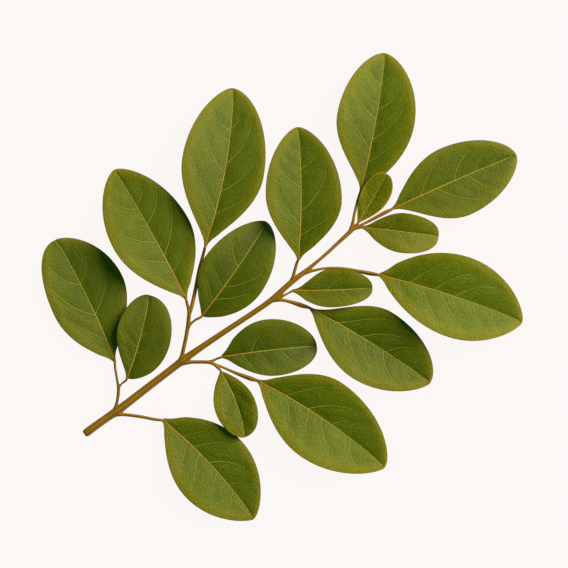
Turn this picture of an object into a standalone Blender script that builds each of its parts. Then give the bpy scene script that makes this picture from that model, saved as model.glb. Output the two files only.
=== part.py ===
"""A moringa leaf, cut from its branch and lying on a table.

One brown rachis with its side stalks carries seventeen oval green leaflets. Each leaflet
is a thin blade, folded a little upwards along its midrib and arched along its length.
The frond lies along +X, from the cut end of the rachis to the leaflets at its tip, with
+Y to the left as seen from above and +Z up. The origin is on the table, under the middle
of the frond's outline. Dimensions are in millimetres and are scaled to metres by MM.
"""

import bmesh
import bpy
from collections import namedtuple
from math import cos, pi, radians, sin, tan
from mathutils import Vector

MM = 0.001

# Blades
THICKNESS = 0.6        # of every leaflet
STUB = 0.3             # half width of a blade where it meets its stalk, and at its very tip
CURL = 0.05            # how much the fold flattens out towards the margin
RIPPLE = 0.15          # height of the slow wave along a margin
RIPPLES = 1.6          # waves along one margin
ROWS = 12              # faces along a blade
COLUMNS = 6            # faces across a blade

# Stalks
GAP = 0.35             # between a stalk's end and its leaflet
APPROACH = 0.6         # before the leaflet, from where its stalk runs in line with it
ROUNDNESS = 2          # bevel resolution, which gives eight sides
STEP = 1.6             # longest stretch of a stalk between two rings

# Middle of the frond's outline, measured from the cut end of the rachis
MIDDLE_X = 45.9
MIDDLE_Y = -1.4

# A leaflet's base is where its midrib leaves the stalk, and its heading is the direction
# of its tip, in degrees from the rachis. A half is (half width, where it is widest along
# the blade, taper to its foot, taper to its tip, fold in degrees): a taper of 0.5 is round
# as an ellipse is, and 1 runs to a point. Heights are of the midrib's upper side at the
# foot, what the arch adds halfway, and at the tip.
Leaflet = namedtuple("Leaflet", "name base heading length bow left right heights")
Half = namedtuple("Half", "width widest foot tip fold")

LEAFLETS = (
    Leaflet("leaflet_01", (12.0, 7.7), 79.0, 23.85, -0.5,
            Half(6.2, 0.48, 0.95, 0.45, 10), Half(7.95, 0.54, 1.25, 0.64, 5), (1.4, 0.0, 0.4)),
    Leaflet("leaflet_02", (11.9, 3.5), 38.1, 15.4, -0.4,
            Half(4.0, 0.56, 1.40, 0.60, 4), Half(5.9, 0.49, 0.52, 0.45, 8), (1.8, 0.6, 2.4)),
    Leaflet("leaflet_03", (29.0, 9.0), 82.1, 26.05, -0.3,
            Half(7.0, 0.52, 1.05, 0.69, 15), Half(7.4, 0.46, 0.98, 0.70, 5), (3.5, 1.6, 0.4)),
    Leaflet("leaflet_04", (37.7, 14.2), 43.1, 28.5, -1.1,
            Half(6.8, 0.52, 1.35, 0.70, 14), Half(8.2, 0.48, 1.18, 0.58, 14), (5.9, 1.8, 0.4)),
    Leaflet("leaflet_05", (29.5, 4.3), 18.3, 20.4, -0.3,
            Half(5.6, 0.43, 1.10, 0.69, 7), Half(6.35, 0.46, 0.74, 0.63, 10), (2.6, 1.1, 2.6)),
    Leaflet("leaflet_06", (49.6, 2.3), 53.2, 23.4, -0.5,
            Half(5.85, 0.49, 1.20, 0.69, 13), Half(7.85, 0.44, 1.00, 0.66, 13), (4.1, 1.4, 1.4)),
    Leaflet("leaflet_07", (66.1, 5.4), 42.9, 24.7, -0.4,
            Half(6.6, 0.50, 1.40, 0.63, 15), Half(7.4, 0.52, 0.85, 0.64, 13), (3.6, 1.6, 0.4)),
    Leaflet("leaflet_08", (62.0, 0.8), 22.0, 10.05, 0.0,
            Half(2.5, 0.62, 1.05, 0.50, 0), Half(2.65, 0.60, 1.15, 0.55, 14), (3.75, -0.2, 5.6)),
    Leaflet("leaflet_09", (68.8, -1.1), -13.4, 23.9, 0.2,
            Half(6.5, 0.49, 1.05, 0.61, 13), Half(6.55, 0.50, 1.45, 0.66, 13), (3.4, 0.6, 0.4)),
    Leaflet("leaflet_10", (62.45, -0.75), -43.8, 13.25, 0.0,
            Half(3.4, 0.52, 1.20, 0.42, 19), Half(3.8, 0.52, 0.92, 0.43, 14), (3.0, 0.8, 2.4)),
    Leaflet("leaflet_11", (59.6, -9.5), -55.2, 26.6, 0.5,
            Half(8.05, 0.52, 0.75, 0.71, 13), Half(6.75, 0.55, 0.88, 0.76, 15), (4.8, 1.7, 0.4)),
    Leaflet("leaflet_12", (45.66, -2.25), -35.0, 13.75, -0.2,
            Half(3.7, 0.48, 1.55, 0.53, 12), Half(3.3, 0.47, 0.80, 0.46, 13), (3.1, 0.5, 3.3)),
    Leaflet("leaflet_13", (45.9, -6.7), -68.8, 25.1, 0.4,
            Half(7.1, 0.50, 1.62, 0.58, 13), Half(6.7, 0.51, 1.08, 0.75, 15), (2.4, 0.7, 0.4)),
    Leaflet("leaflet_14", (28.3, -4.1), -30.4, 16.6, 0.2,
            Half(5.8, 0.48, 0.75, 0.58, 11), Half(4.5, 0.55, 1.00, 0.48, 10), (1.8, 0.9, 1.3)),
    Leaflet("leaflet_15", (30.5, -11.5), -71.3, 27.3, 0.9,
            Half(8.2, 0.45, 1.13, 0.67, 13), Half(6.9, 0.50, 1.04, 0.78, 15), (2.2, 1.4, 0.4)),
    Leaflet("leaflet_16", (26.0, -5.9), -106.6, 12.45, 0.6,
            Half(4.0, 0.55, 0.90, 0.46, 15), Half(3.45, 0.53, 0.98, 0.62, 11), (2.0, 0.6, 3.4)),
    Leaflet("leaflet_17", (12.5, -7.0), -84.3, 23.7, 0.8,
            Half(7.85, 0.50, 0.73, 0.74, 9), Half(6.4, 0.52, 1.05, 0.80, 13), (1.3, 0.8, 0.4)),
)

# Each stalk is a route of (x, y, height of its middle, radius). A route that is named for
# a leaflet runs on to that leaflet's base. The first point of a side stalk is inside the
# one that it grows from, and is thicker, as the real joints are.
RACHIS = (
    (-0.4, 0.0, 0.62, 0.62), (0.1, 0.0, 0.62, 0.76), (3.4, 0.0, 0.62, 0.71), (5.4, -0.1, 0.62, 0.72),
    (6.8, -0.2, 0.64, 0.83), (8.4, -0.22, 0.64, 0.73), (13.1, -0.13, 0.70, 0.69),
    (18.8, -0.1, 0.92, 0.65), (20.6, -0.06, 1.02, 0.69), (21.8, -0.04, 1.10, 0.78),
    (23.4, -0.07, 1.20, 0.62), (27.0, -0.23, 1.46, 0.54), (30.8, -0.44, 1.75, 0.51),
    (37.7, -0.88, 2.25, 0.49), (40.8, -1.0, 2.48, 0.52), (42.4, -0.93, 2.58, 0.59),
    (44.3, -0.67, 2.70, 0.51), (46.2, -0.55, 2.80, 0.52), (48.1, -0.52, 2.87, 0.48),
    (49.6, -0.53, 2.91, 0.40), (52.0, -0.4, 3.00, 0.32), (54.3, -0.25, 3.08, 0.32),
    (56.6, 0.0, 3.14, 0.34), (58.6, 0.2, 3.18, 0.38), (60.2, 0.36, 3.22, 0.44),
    (60.9, 0.5, 3.25, 0.50),
)
FORKS = {
    "lower_left": ((6.2, 0.05, 0.80, 0.56), (7.6, 0.95, 0.97, 0.36), (8.4, 1.66, 1.10, 0.31),
                   (9.05, 2.34, 1.20, 0.32), (9.7, 3.1, 1.30, 0.38)),
    "middle_left": ((21.0, 0.0, 1.12, 0.60), (22.2, 0.75, 1.28, 0.44), (23.2, 1.6, 1.47, 0.38),
                    (24.4, 2.62, 1.64, 0.37), (25.7, 3.8, 1.87, 0.38), (26.9, 5.05, 2.10, 0.38),
                    (28.2, 6.5, 2.38, 0.44)),
    "middle_right": ((21.0, -0.25, 1.05, 0.58), (22.7, -1.12, 1.14, 0.38), (23.85, -1.98, 1.21, 0.34),
                     (25.5, -3.25, 1.30, 0.42)),
}
STALKS = {
    "leaflet_01": ((9.7, 3.1, 1.30, 0.34), (10.1, 3.9, 1.29, 0.31), (11.25, 6.3, 1.20, 0.30)),
    "leaflet_02": ((9.6, 3.0, 1.30, 0.34), (10.5, 3.25, 1.45, 0.30)),
    "leaflet_03": ((28.1, 6.4, 2.38, 0.40), (28.6, 7.7, 2.90, 0.30)),
    "leaflet_04": ((28.1, 6.2, 2.34, 0.42), (29.4, 7.15, 2.28, 0.36), (30.8, 8.35, 2.25, 0.35),
                   (32.35, 9.75, 2.28, 0.35), (34.9, 11.95, 3.30, 0.33), (36.4, 13.1, 4.45, 0.31)),
    "leaflet_05": ((25.8, 3.9, 1.90, 0.36), (26.7, 4.33, 2.05, 0.31), (28.2, 4.38, 2.18, 0.30)),
    "leaflet_06": ((45.9, -0.5, 2.80, 0.46), (47.0, 0.28, 3.00, 0.34), (48.5, 1.43, 3.45, 0.30)),
    "leaflet_07": ((60.3, 0.6, 3.24, 0.42), (61.4, 1.58, 3.34, 0.33), (62.2, 2.33, 3.34, 0.30),
                   (64.0, 3.85, 3.34, 0.30)),
    "leaflet_08": ((60.7, 0.5, 3.30, 0.40),),
    "leaflet_09": ((60.5, 0.42, 3.22, 0.42), (62.3, 0.05, 3.25, 0.31), (65.2, -0.45, 3.25, 0.33),
                   (66.9, -0.7, 3.25, 0.37)),
    "leaflet_10": ((60.7, 0.45, 3.20, 0.42),),
    "leaflet_11": ((48.6, -0.6, 2.88, 0.44), (50.3, -1.3, 2.77, 0.32), (52.2, -2.2, 2.70, 0.30),
                   (53.6, -3.17, 2.70, 0.30), (56.0, -5.5, 3.08, 0.31), (58.2, -7.95, 3.90, 0.38)),
    "leaflet_12": ((42.0, -1.3, 2.54, 0.46), (43.6, -1.72, 2.66, 0.30)),
    "leaflet_13": ((41.5, -1.25, 2.50, 0.48), (42.7, -2.2, 2.36, 0.34), (43.7, -3.4, 2.26, 0.34),
                   (44.85, -5.1, 2.24, 0.40)),
    "leaflet_14": ((25.2, -3.0, 1.30, 0.36), (26.8, -3.48, 1.34, 0.30)),
    "leaflet_15": ((25.4, -3.2, 1.30, 0.38), (26.63, -5.1, 1.37, 0.30), (28.0, -7.6, 1.50, 0.32),
                   (29.75, -10.35, 1.82, 0.39)),
    "leaflet_16": ((25.45, -3.2, 1.30, 0.38), (25.95, -4.5, 1.46, 0.30)),
    "leaflet_17": ((6.2, -0.4, 0.74, 0.54), (7.5, -1.53, 0.80, 0.36), (9.0, -2.95, 0.87, 0.32),
                   (11.2, -5.4, 0.97, 0.30)),
}


def clear_scene():
    for item in list(bpy.data.objects):
        bpy.data.objects.remove(item)


def make_material(name, colour, roughness):
    material = bpy.data.materials.new(name)
    material.use_nodes = True
    shader = material.node_tree.nodes["Principled BSDF"]
    shader.inputs["Base Color"].default_value = (*colour, 1.0)
    shader.inputs["Roughness"].default_value = roughness
    shader.inputs["Metallic"].default_value = 0.0
    return material


def width_at(half, along):
    """Half width of a blade at a fraction of its length."""
    if along < half.widest:
        shape = (1 - (1 - along / half.widest) ** 2) ** half.foot
    else:
        shape = (1 - ((along - half.widest) / (1 - half.widest)) ** 2) ** half.tip
    return STUB + (half.width - STUB) * shape


def blade_point(leaflet, along, across, wave_start):
    """A point of the upper side, from the leaflet's base, with across 1 at its left margin."""
    half = leaflet.left if across >= 0 else leaflet.right
    offset = across * width_at(half, along)
    belly = 4 * along * (1 - along)
    base_height, arch, tip_height = leaflet.heights
    midrib = base_height * (1 - along) + tip_height * along + arch * belly
    fold = tan(radians(half.fold)) * abs(offset) * (1 - CURL * (offset / half.width) ** 2)
    wave = RIPPLE * across ** 2 * belly * sin(2 * pi * (RIPPLES * along + wave_start))
    height = max(midrib + fold + wave, THICKNESS)
    sideways = offset + leaflet.bow * belly * (1 - abs(across))
    return Vector((leaflet.length * along, sideways, height - base_height)) * MM


def make_leaflet(leaflet, number, material, frond, collection):
    grid = bmesh.new()
    bmesh.ops.create_grid(grid, x_segments=ROWS, y_segments=COLUMNS, size=0.5)
    for vertex in grid.verts:
        along = (1 - cos(pi * (vertex.co.x + 0.5))) / 2
        vertex.co = blade_point(leaflet, along, 2 * vertex.co.y, number * 0.37)
    mesh = bpy.data.meshes.new(leaflet.name)
    grid.to_mesh(mesh)
    grid.free()
    mesh.materials.append(material)
    blade = bpy.data.objects.new(leaflet.name, mesh)
    collection.objects.link(blade)
    blade.parent = frond
    blade.location = Vector((*leaflet.base, leaflet.heights[0])) * MM
    blade.rotation_euler.z = radians(leaflet.heading)
    blade.modifiers.new("Split alike", "TRIANGULATE")
    body = blade.modifiers.new("Thickness", "SOLIDIFY")
    body.thickness = THICKNESS * MM
    body.offset = -1.0
    mesh.shade_smooth()
    return blade


def stalk_end(leaflet):
    """Last two points of a stalk, in line with its leaflet and just short of its base."""
    heading = radians(leaflet.heading)
    x, y = leaflet.base
    height = leaflet.heights[0] - THICKNESS / 2
    return tuple((x - back * cos(heading), y - back * sin(heading), height, STUB)
                 for back in (APPROACH, GAP))


def smooth_route(route):
    """Points of a smooth curve through a route, spaced by STEP or less."""
    points = [Vector(point) for point in route]
    ends = [2 * points[0] - points[1]] + points + [2 * points[-1] - points[-2]]
    smooth = [points[0]]
    for before, start, end, after in zip(ends, ends[1:], ends[2:], ends[3:]):
        pieces = max(1, round((end - start).length / STEP))
        for piece in range(1, pieces + 1):
            u = piece / pieces
            smooth.append(0.5 * (2 * start + (end - before) * u
                                 + (2 * before - 5 * start + 4 * end - after) * u ** 2
                                 + (3 * start - before - 3 * end + after) * u ** 3))
    return smooth


def make_tube(name, route, collection):
    points = smooth_route(route)
    curve = bpy.data.curves.new(name, "CURVE")
    curve.dimensions = "3D"
    curve.bevel_depth = MM
    curve.bevel_resolution = ROUNDNESS
    curve.use_fill_caps = True
    spline = curve.splines.new("POLY")
    spline.points.add(len(points) - 1)
    for control, (x, y, z, radius) in zip(spline.points, points):
        control.co = (x * MM, y * MM, z * MM, 1.0)
        control.radius = radius
    wire = bpy.data.objects.new(name, curve)
    collection.objects.link(wire)
    bpy.context.view_layer.update()

    evaluated = wire.evaluated_get(bpy.context.evaluated_depsgraph_get())
    mesh = bpy.data.meshes.new_from_object(evaluated)
    bpy.data.objects.remove(wire)
    welded = bmesh.new()
    welded.from_mesh(mesh)
    bmesh.ops.remove_doubles(welded, verts=welded.verts, dist=0.001 * MM)
    welded.to_mesh(mesh)
    welded.free()
    tube = bpy.data.objects.new(name, mesh)
    collection.objects.link(tube)
    return tube


def bake(item):
    """Replace an object's mesh by its evaluated one, and drop its modifiers."""
    bpy.context.view_layer.update()
    evaluated = item.evaluated_get(bpy.context.evaluated_depsgraph_get())
    item.data = bpy.data.meshes.new_from_object(evaluated)
    item.modifiers.clear()


def make_rachis(material, frond, collection, tools):
    rachis = make_tube("rachis", RACHIS, collection)
    by_name = {leaflet.name: leaflet for leaflet in LEAFLETS}
    for name, route in FORKS.items():
        make_tube("fork_" + name, route, tools)
    for name, route in STALKS.items():
        make_tube("stalk_of_" + name, route + stalk_end(by_name[name]), tools)

    union = rachis.modifiers.new("Grown together", "BOOLEAN")
    union.operation = "UNION"
    union.operand_type = "COLLECTION"
    union.collection = tools
    bake(rachis)
    for tube in list(tools.objects):
        bpy.data.objects.remove(tube)

    bpy.ops.mesh.primitive_cube_add(size=0.2, location=(0.05, 0, -0.1))
    table = bpy.context.object
    table.name = "table_cutter"
    table.hide_render = True
    table.display_type = "WIRE"
    flat = rachis.modifiers.new("Flat where it rests", "BOOLEAN")
    flat.operation = "DIFFERENCE"
    flat.object = table
    bake(rachis)
    bpy.data.objects.remove(table)

    rachis.data.materials.clear()
    rachis.data.materials.append(material)
    rachis.data.shade_smooth()
    rachis.data.set_sharp_from_angle(angle=radians(50))
    rachis.parent = frond
    return rachis


def main():
    clear_scene()
    collection = bpy.data.collections.new("moringa_leaf")
    tools = bpy.data.collections.new("stalk_tubes")
    bpy.context.scene.collection.children.link(collection)
    bpy.context.scene.collection.children.link(tools)
    frond = bpy.data.objects.new("frond", None)
    frond.location = (-MIDDLE_X * MM, -MIDDLE_Y * MM, 0.0)
    collection.objects.link(frond)

    leaf_green = make_material("leaf_green", (0.085, 0.13, 0.012), 0.45)
    stalk_brown = make_material("stalk_brown", (0.23, 0.115, 0.015), 0.6)
    make_rachis(stalk_brown, frond, collection, tools)
    for number, leaflet in enumerate(LEAFLETS):
        make_leaflet(leaflet, number, leaf_green, frond, collection)


main()
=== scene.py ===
# %% [markdown]
# # A moringa leaf
# A moringa leaf is compound: a thin brown rachis forks again and again, and every fork ends
# in an oval green leaflet. This one was cut from its branch and laid on a pale surface, and
# we look straight down on it. The imported CAD model is the fixed frame that everything here
# has to fit. So it is loaded first.

import math
from collections import namedtuple

import bpy
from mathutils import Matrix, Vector


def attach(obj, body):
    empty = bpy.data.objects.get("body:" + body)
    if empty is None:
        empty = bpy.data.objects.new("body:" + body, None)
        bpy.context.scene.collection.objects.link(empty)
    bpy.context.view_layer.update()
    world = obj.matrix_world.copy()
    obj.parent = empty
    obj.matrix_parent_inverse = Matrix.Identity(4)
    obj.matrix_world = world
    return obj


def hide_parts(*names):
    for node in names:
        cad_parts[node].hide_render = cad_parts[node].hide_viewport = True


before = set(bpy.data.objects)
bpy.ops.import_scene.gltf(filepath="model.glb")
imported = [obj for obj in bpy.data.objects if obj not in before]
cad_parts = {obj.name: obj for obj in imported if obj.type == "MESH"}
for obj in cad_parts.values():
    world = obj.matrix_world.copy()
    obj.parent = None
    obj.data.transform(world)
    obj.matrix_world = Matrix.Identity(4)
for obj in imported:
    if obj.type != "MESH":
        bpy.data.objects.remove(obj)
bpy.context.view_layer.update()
MM = 0.001
print("nodes in the frame:", sorted(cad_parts))

# %% [markdown]
# ## A pencil for node trees
# The leaflets and the stalks are made by Geometry Nodes, and every finish is a shader tree.
# Both are drawn here in the same way: one call adds one node, and what comes out of it is
# wrapped so that sums can be written as plain arithmetic. That keeps each formula readable
# and lets it be compared with the one that the solids follow.

# %% The pencil: sums on a wire
class Wire:
    """An output of a node. Arithmetic on it adds Math nodes."""

    def __init__(self, sketch, socket):
        self.sketch = sketch
        self.socket = socket

    def __add__(self, other):
        return self.sketch.math("ADD", self, other)

    def __radd__(self, other):
        return self.sketch.math("ADD", other, self)

    def __sub__(self, other):
        return self.sketch.math("SUBTRACT", self, other)

    def __rsub__(self, other):
        return self.sketch.math("SUBTRACT", other, self)

    def __mul__(self, other):
        return self.sketch.math("MULTIPLY", self, other)

    def __rmul__(self, other):
        return self.sketch.math("MULTIPLY", other, self)

    def __truediv__(self, other):
        return self.sketch.math("DIVIDE", self, other)

    def __pow__(self, other):
        return self.sketch.math("POWER", self, other)

    def __abs__(self):
        return self.sketch.math("ABSOLUTE", self)


# %% The pencil: one call adds one node
class Sketch:
    """A node tree that is being drawn."""

    def __init__(self, tree):
        self.tree = tree

    def feed(self, socket, value):
        if isinstance(value, Wire):
            self.tree.links.new(value.socket, socket)
        elif isinstance(value, (list, tuple)) and isinstance(value[0], Wire):
            for each in value:
                self.tree.links.new(each.socket, socket)
        else:
            socket.default_value = value

    def add(self, kind, inputs=None, output=0, **settings):
        node = self.tree.nodes.new(kind)
        for name, value in settings.items():
            setattr(node, name, value)
        for name, value in (inputs or {}).items():
            self.feed(node.inputs[name], value)
        return Wire(self, node.outputs[output])

    def math(self, operation, *values):
        return self.add("ShaderNodeMath", dict(enumerate(values)), operation=operation)

    def vector(self, x, y, z):
        return self.add("ShaderNodeCombineXYZ", {"X": x, "Y": y, "Z": z})

    def split(self, vector):
        node = self.tree.nodes.new("ShaderNodeSeparateXYZ")
        self.feed(node.inputs[0], vector)
        return [Wire(self, node.outputs[i]) for i in range(3)]

    def ramp(self, value, low, high, to_low=0.0, to_high=1.0):
        """Maps low..high to to_low..to_high with soft ends."""
        inputs = {"Value": value, "From Min": low, "From Max": high,
                  "To Min": to_low, "To Max": to_high}
        return self.add("ShaderNodeMapRange", inputs, interpolation_type="SMOOTHSTEP")

    def mix(self, factor, a, b):
        """Mixes two colours."""
        inputs = {0: factor, 6: a, 7: b}
        return self.add("ShaderNodeMix", inputs, output=2, data_type="RGBA")

    def noise(self, vector, scale, detail=2.0, roughness=0.5):
        inputs = {"Vector": vector, "Scale": scale, "Detail": detail, "Roughness": roughness}
        return self.add("ShaderNodeTexNoise", inputs)


def tell(name, sketch):
    """Says how many nodes a tree has so far."""
    print(f"{name}: {len(sketch.tree.nodes)} nodes")


# %% [markdown]
# A tree that makes geometry needs a little more. It has named inputs for its sizes, which
# are set on each object before the tree first runs. Once it has run, a plain mesh takes the
# place of the object and its modifier, because only a mesh can be handed on and painted.

# %% Trees that make geometry
def new_tree(name, sizes):
    """A geometry tree with named inputs: returns its sketch and a wire for each input."""
    tree = bpy.data.node_groups.new(name, "GeometryNodeTree")
    tree.interface.new_socket(name="Geometry", in_out="INPUT", socket_type="NodeSocketGeometry")
    for label in sizes:
        tree.interface.new_socket(name=label, in_out="INPUT", socket_type="NodeSocketFloat")
    tree.interface.new_socket(name="Geometry", in_out="OUTPUT", socket_type="NodeSocketGeometry")
    sketch = Sketch(tree)
    entry = tree.nodes.new("NodeGroupInput")
    wires = {socket.name: Wire(sketch, socket) for socket in entry.outputs if socket.name}
    return sketch, wires


def end_tree(sketch, geometry, finish=None):
    """Realizes what is left of the instances, gives it a finish and hands it out."""
    whole = sketch.add("GeometryNodeRealizeInstances", {"Geometry": geometry})
    if finish:
        whole = sketch.add("GeometryNodeSetMaterial", {"Geometry": whole, "Material": finish})
    leave = sketch.tree.nodes.new("NodeGroupOutput")
    sketch.feed(leave.inputs[0], whole)
    tell(sketch.tree.name, sketch)


def run_tree(obj, tree, sizes):
    """Puts the tree on the object and sets its inputs by their identifiers."""
    modifier = obj.modifiers.new(tree.name, "NODES")
    modifier.node_group = tree
    for item in tree.interface.items_tree:
        if item.in_out == "INPUT" and item.name in sizes:
            modifier[item.identifier] = sizes[item.name]


def freeze(obj, name):
    """Turns what the modifiers make into a plain mesh on an object at the origin."""
    depsgraph = bpy.context.evaluated_depsgraph_get()
    mesh = bpy.data.meshes.new_from_object(obj.evaluated_get(depsgraph))
    mesh.name = name
    bpy.data.objects.remove(obj)
    piece = bpy.data.objects.new(name, mesh)
    bpy.context.scene.collection.objects.link(piece)
    return piece


# %% [markdown]
# ## Finishes
# An image of a leaf would be easy to lay on a leaflet, but it would be tied to that one
# leaflet. Instead each leaflet stores where every point lies on it, in millimetres, and its
# finish is worked out from that: a fine stipple, faint streaks beside the side veins, soft
# clouds of lighter and darker green, and the net of the finest veins. The streaks and the
# net lean with the side veins, which leave the midrib at a slant and bend towards the tip.

# %% Helpers for finishes
SLANT, BEND = 0.72, 0.035
STREAKS_ALONG, STREAKS_ACROSS = 3.4, 0.6
GRAIN_SCALE, CLOUD_SCALE = 4.8, 0.22
NET_ALONG, NET_ACROSS, NET_SCALE, NET_LINE = 1.25, 0.9, 1.1, 0.11
DULL_GLOSS = 0.15


def attribute(sketch, name, vector=False):
    return sketch.add("ShaderNodeAttribute", output="Vector" if vector else "Fac",
                      attribute_name=name)


def new_finish(name):
    material = bpy.data.materials.new(name)
    material.use_nodes = True
    return material, Sketch(material.node_tree), material.node_tree.nodes["Principled BSDF"]


def paint(sketch, shader, colour, brightness, roughness, gloss):
    """Gives the shader its colour, how bright that is from spot to spot, and its gloss."""
    inputs = {"Color": colour, "Value": brightness}
    sketch.feed(shader.inputs["Base Color"], sketch.add("ShaderNodeHueSaturation", inputs))
    sketch.feed(shader.inputs["Roughness"], roughness)
    shader.inputs["Specular IOR Level"].default_value = gloss


def bump(sketch, shader, height, depth_mm, strength):
    inputs = {"Height": height, "Distance": depth_mm * MM, "Strength": strength}
    sketch.feed(shader.inputs["Normal"], sketch.add("ShaderNodeBump", inputs))


def leaf_patterns(sketch):
    """Streaks beside the side veins, grain, clouds and the net of fine veins of a blade."""
    place = attribute(sketch, "leaf_mm", vector=True)
    along, offset, seed = sketch.split(place)
    lean = along - SLANT * offset - BEND * offset * offset
    streak_place = sketch.vector(lean * STREAKS_ALONG, offset * STREAKS_ACROSS, seed)
    streaks = sketch.noise(streak_place, 1.0, 3.0, 0.6)
    grain = sketch.noise(place, GRAIN_SCALE, 1.5, 0.6)
    clouds = sketch.noise(place, CLOUD_SCALE, 2.0, 0.5)
    net_place = sketch.vector(lean * NET_ALONG, offset * NET_ACROSS, seed)
    net = sketch.add("ShaderNodeTexVoronoi", {"Vector": net_place, "Scale": NET_SCALE},
                     feature="DISTANCE_TO_EDGE")
    return streaks, grain, clouds, sketch.ramp(net, 0.0, NET_LINE, 1.0, 0.0)


# %% [markdown]
# ### Upper side of a leaflet
# A fresh leaflet is a deep green with a hint of olive. Its margin and tip are yellower, more
# so on the paler leaflets. Its very rim is painted dark, as painted shade on the thin edge of
# the blade. On the youngest it is painted golden, as a painted highlight where the edge
# catches the light. Beside the side veins the green is painted darker, as painted shade in the
# hollows there. It has a soft waxy gloss, so the half of the blade that leans to the light
# looks paler and greyer than the other half. The colours are mixed one over the other, as a
# painter lays glazes: a share says how strong a glaze is, and a distance in millimetres how
# far it reaches.
# a share says how strong a glaze is, and a distance in millimetres how far it reaches.

# %% Colours of the upper side
LEAF_DEEP = (0.086, 0.118, 0.0012, 1)
LEAF_FRESH = (0.112, 0.146, 0.002, 1)
LEAF_OUTER = (0.136, 0.169, 0.002, 1)
LEAF_MARGIN = (0.210, 0.180, 0.003, 1)
DARK_MARGIN = (0.158, 0.186, 0.002, 1)
# The two rim colours are painted light and shade: a dark painted shade for the thin edge of the
# blade, and a golden painted highlight for the edge of the youngest leaflets.
RIM_PAINTED_SHADE = (0.100, 0.105, 0.006, 1)
YOUNG_RIM_PAINTED_HIGHLIGHT = (0.460, 0.330, 0.025, 1)
LEAF_TIP = (0.230, 0.187, 0.003, 1)
LEAF_YOUNG = (0.220, 0.205, 0.004, 1)
LEAF_NET = (0.160, 0.180, 0.010, 1)

OUTER_SHARE, YOUNG_SHARE, NET_SHARE = 0.75, 0.5, 0.25
# How far and how strongly the green is darkened beside the side veins: painted shade in the hollows
# along them.
PAINTED_VEIN_SHADE_MM, PAINTED_VEIN_SHADE_SHARE = (0.12, 0.5), 0.45
MARGIN_MM, MARGIN_SHARE, MARGIN_RAGGED = (-0.4, 2.8), 0.80, 1.2
TIP_AT, TIP_MM, TIP_SHARE = (0.86, 1.02), (0.2, 2.6), 0.6
PAINTED_RIM_MM, PAINTED_RIM_SHARE, YOUNG_PAINTED_RIM_MM = (0.05, 0.16), 0.65, 0.1
LIGHT_TONES = (0.72, 0.92)
YOUNG_YELLOWS = (0.7, 1.0)

leaf_top, sketch, shader = new_finish("leaf upper side")
streaks, grain, clouds, net = leaf_patterns(sketch)
edge = attribute(sketch, "edge_mm")
tone = attribute(sketch, "tone")
yellow = attribute(sketch, "yellow")
light_leaf = sketch.ramp(tone, *LIGHT_TONES)
young = sketch.ramp(yellow, *YOUNG_YELLOWS)

colour = sketch.mix(sketch.ramp(clouds, 0.3, 0.7), LEAF_DEEP, LEAF_FRESH)
outer = sketch.ramp(abs(attribute(sketch, "across")), 0.15, 1.0)
colour = sketch.mix(outer * OUTER_SHARE, colour, LEAF_OUTER)
colour = sketch.mix(yellow * YOUNG_SHARE, colour, LEAF_YOUNG)
colour = sketch.mix(net * NET_SHARE, colour, LEAF_NET)
# Painted shade: the green turns deeper close to each side vein, where the hollow beside it lies.
furrow_and_painted_shade = sketch.ramp(attribute(sketch, "vein_gap"), *PAINTED_VEIN_SHADE_MM, PAINTED_VEIN_SHADE_SHARE, 0.0)
colour = sketch.mix(furrow_and_painted_shade, colour, LEAF_DEEP)
margin = sketch.ramp(edge + (clouds - 0.5) * MARGIN_RAGGED, *MARGIN_MM, MARGIN_SHARE, 0.0)
colour = sketch.mix(margin, colour, sketch.mix(light_leaf, DARK_MARGIN, LEAF_MARGIN))
tip = sketch.ramp(attribute(sketch, "along"), *TIP_AT) * sketch.ramp(edge, *TIP_MM, 1.0, 0.15)
colour = sketch.mix(tip * light_leaf * TIP_SHARE, colour, LEAF_TIP)
# The rim is painted: dark as painted shade on the blade's edge, and golden as a painted highlight
# on the youngest.
painted_rim = sketch.ramp(edge - young * YOUNG_PAINTED_RIM_MM, *PAINTED_RIM_MM, PAINTED_RIM_SHARE, 0.0)
colour = sketch.mix(painted_rim, colour, sketch.mix(young, RIM_PAINTED_SHADE, YOUNG_RIM_PAINTED_HIGHLIGHT))
tell("colours of the upper side", sketch)

# %% Stipple and gloss of the upper side
LEAF_ROUGH = (0.41, 0.53)
LEAF_GLOSS = 0.18
LEAF_RELIEF_MM = 0.11

speckle = (1.0 + 0.8 * (grain - 0.5) + 0.45 * (streaks - 0.5)) * tone
waxy = sketch.ramp(grain + streaks, 0.6, 1.4, *LEAF_ROUGH)
paint(sketch, shader, colour, speckle, waxy, LEAF_GLOSS)
bump(sketch, shader, grain + streaks * 0.4 - net * 0.2, LEAF_RELIEF_MM, 1.0)
tell(leaf_top.name, sketch)

# %% [markdown]
# ### Underside of a leaflet
# The underside never shows from above, but the leaf can be picked up and turned over. There
# a moringa leaflet is paler and duller, and the net of veins stands out more.

# %% Underside of a leaflet
UNDER_PALE = (0.205, 0.250, 0.085, 1)
UNDER_DULL = (0.150, 0.195, 0.055, 1)
UNDER_NET = (0.260, 0.290, 0.115, 1)
UNDER_NET_SHARE = 0.6
UNDER_ROUGH = (0.6, 0.75)
UNDER_RELIEF_MM = 0.05

leaf_under, sketch, shader = new_finish("leaf underside")
streaks, grain, clouds, net = leaf_patterns(sketch)
colour = sketch.mix(sketch.ramp(clouds, 0.3, 0.7), UNDER_DULL, UNDER_PALE)
colour = sketch.mix(net * UNDER_NET_SHARE, colour, UNDER_NET)
speckle = 0.75 + 0.3 * grain + 0.2 * streaks
paint(sketch, shader, colour, speckle, sketch.ramp(grain, 0.3, 0.7, *UNDER_ROUGH), DULL_GLOSS)
bump(sketch, shader, grain * 0.4 + net * 0.8, UNDER_RELIEF_MM, 0.8)
tell(leaf_under.name, sketch)

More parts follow.
